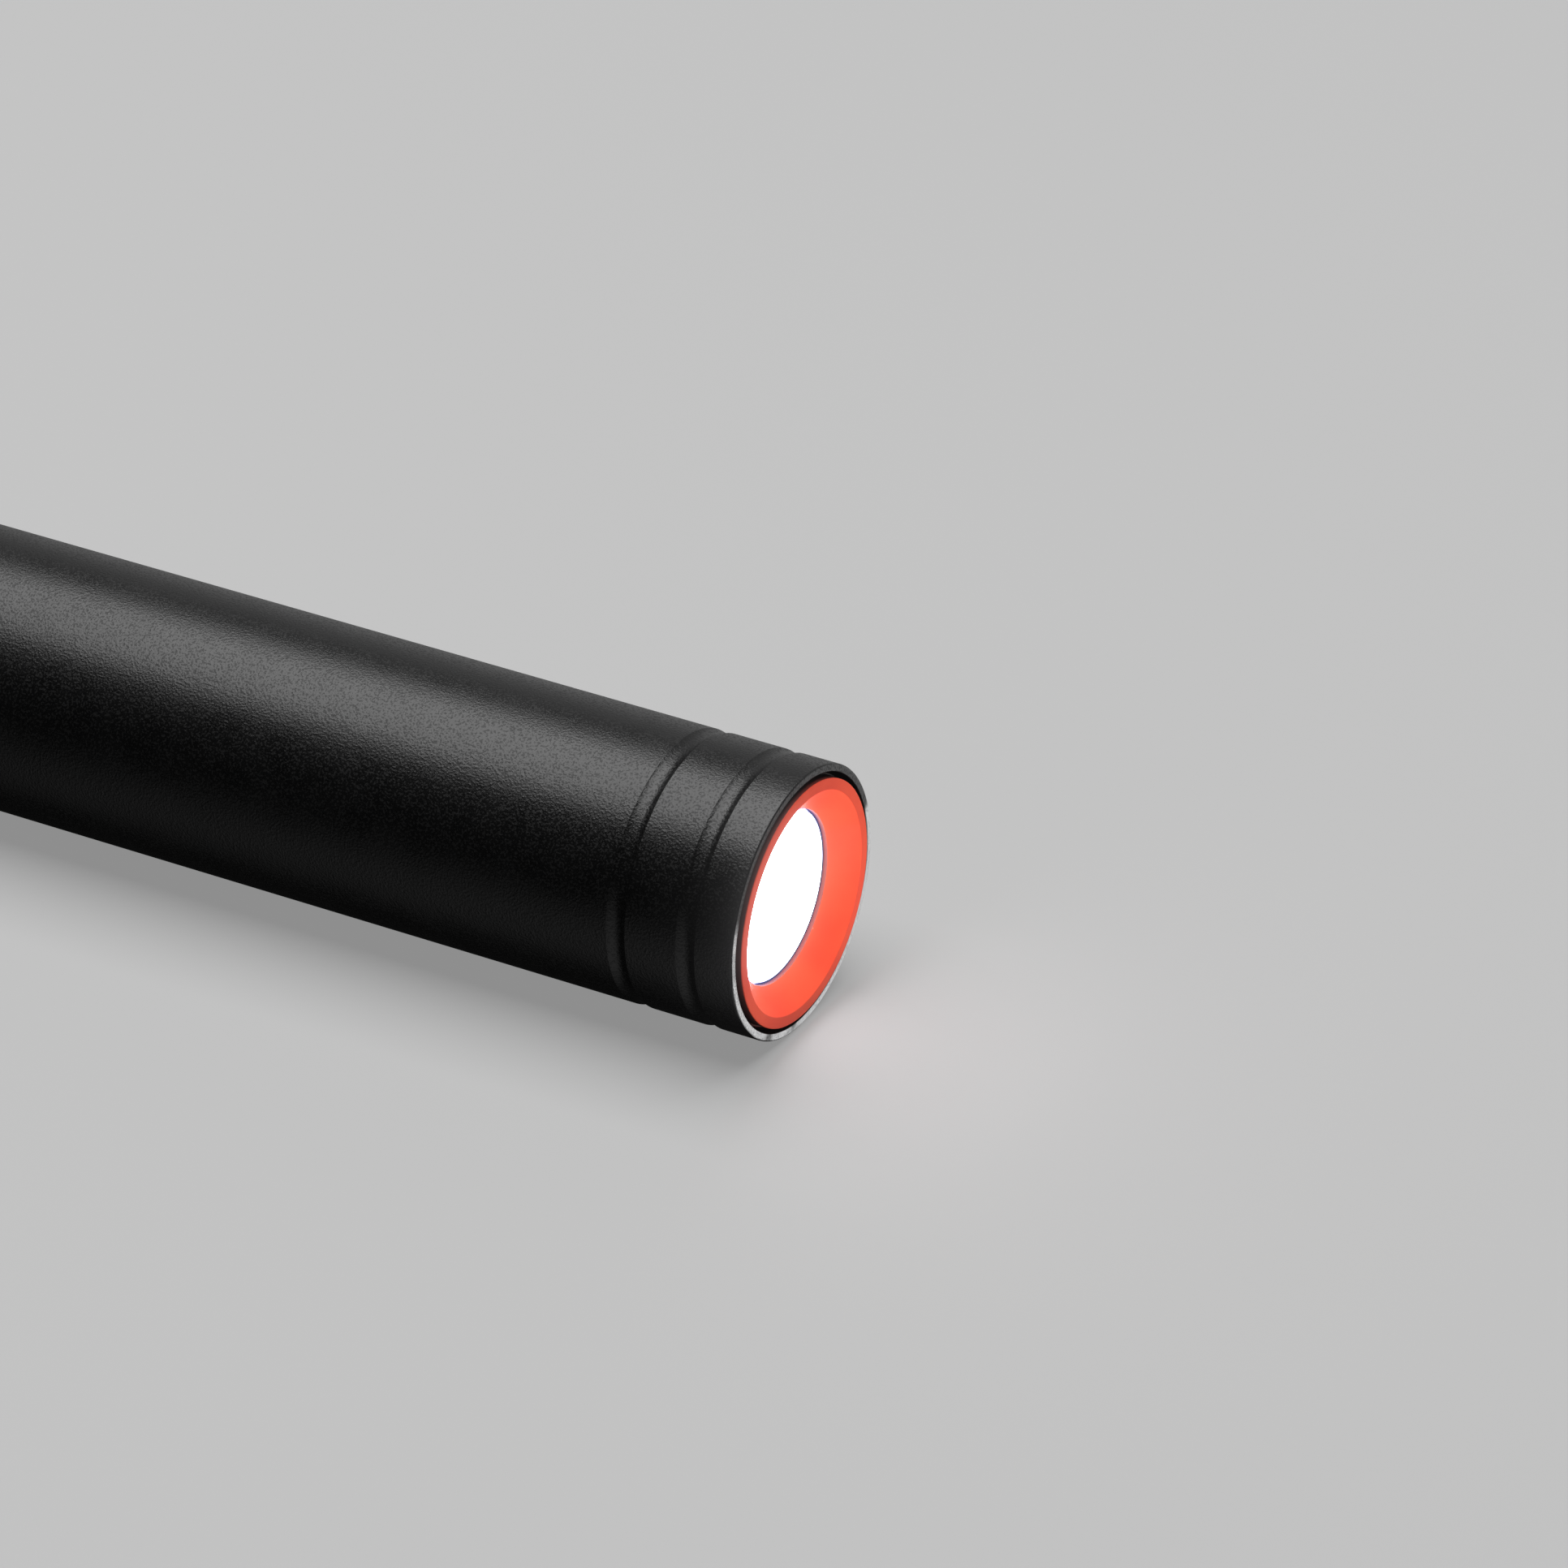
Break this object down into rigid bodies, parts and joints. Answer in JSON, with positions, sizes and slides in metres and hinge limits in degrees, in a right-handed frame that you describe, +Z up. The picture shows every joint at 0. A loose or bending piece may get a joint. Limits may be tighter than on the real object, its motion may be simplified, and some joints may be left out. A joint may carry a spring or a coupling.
{
  "type": "penlight",
  "caption": "Slim black pen-shaped flashlight with a sliding focus head, grip grooves, an orange bezel around a recessed lens, a pocket clip and a push button in a screw-on tail cap.",
  "frame": {"origin": "centre of the flat end ring of the tail cap, on the axis of the light", "axes": "+X along the tube towards the beam, +Z up as the light lies on its side, +Y towards the side that the pocket clip leans to"},
  "size_m": [0.1339, 0.0159, 0.0145],
  "materials": {
    "black_anodised": "matte",
    "orange_anodised": "satin",
    "lens_glass": "polished",
    "black_rubber": "matte",
    "bare_aluminium": "satin",
    "white_board": "matte",
    "white_ceramic": "matte",
    "phosphor_dome": "gloss",
    "red_insulation": "satin",
    "green_board": "satin",
    "black_moulding": "matte",
    "brass": "satin",
    "cell_wrap": "satin",
    "black_steel": "satin",
    "gold_spring": "polished",
    "steel_spring": "satin",
    "white_nylon": "matte"
  },
  "bodies": {
    "barrel": {"barrel": "black_anodised", "focus_seals": "black_rubber", "lamp_holder": "bare_aluminium", "lamp_board": "white_board", "lamp_package": "white_ceramic", "lamp_dome": "phosphor_dome", "lamp_leads": "red_insulation", "driver_board": "green_board", "driver_parts": "black_moulding", "front_stud": "brass", "front_cell": "cell_wrap", "rear_cell": "cell_wrap", "pocket_clip": "black_steel"},
    "head": {"head_sleeve": "black_anodised", "bezel_ring": "orange_anodised", "lens": "lens_glass", "lens_gasket": "black_rubber", "lens_ring": "black_anodised"},
    "tail_seal": {"tail_seal": "black_rubber"},
    "tail_cap": {"tail_cap": "black_anodised", "switch_housing": "black_moulding", "switch_contacts": "brass", "switch_board": "green_board", "switch_ring": "brass", "tail_spring": "gold_spring", "return_spring": "steel_spring"},
    "button": {"tail_button": "black_rubber", "switch_plunger": "white_nylon", "contact_bridge": "brass"}
  },
  "joints": [
    {"name": "focus_slide", "type": "slide", "parent": "barrel", "child": "head", "axis": [1, 0, 0], "range_m": [0, 0.005]},
    {"name": "tail_unscrew", "type": "slide", "parent": "barrel", "child": "tail_seal", "axis": [-1, 0, 0], "range_m": [0, 0.005]},
    {"name": "tail_turn", "type": "hinge", "parent": "tail_seal", "child": "tail_cap", "pos_m": [0, 0, 0], "axis": [-1, 0, 0], "range_deg": [0, 1800]},
    {"name": "switch_press", "type": "slide", "parent": "tail_cap", "child": "button", "axis": [1, 0, 0], "range_m": [0, 0.0014], "stiffness_N_per_m": 1500, "springref_m": -0.0006, "deforming": ["return_spring"]}
  ],
  "couplings": [
    {"joint": "tail_unscrew", "follows": "tail_turn", "m_per_rad": 0.00015915}
  ]
}
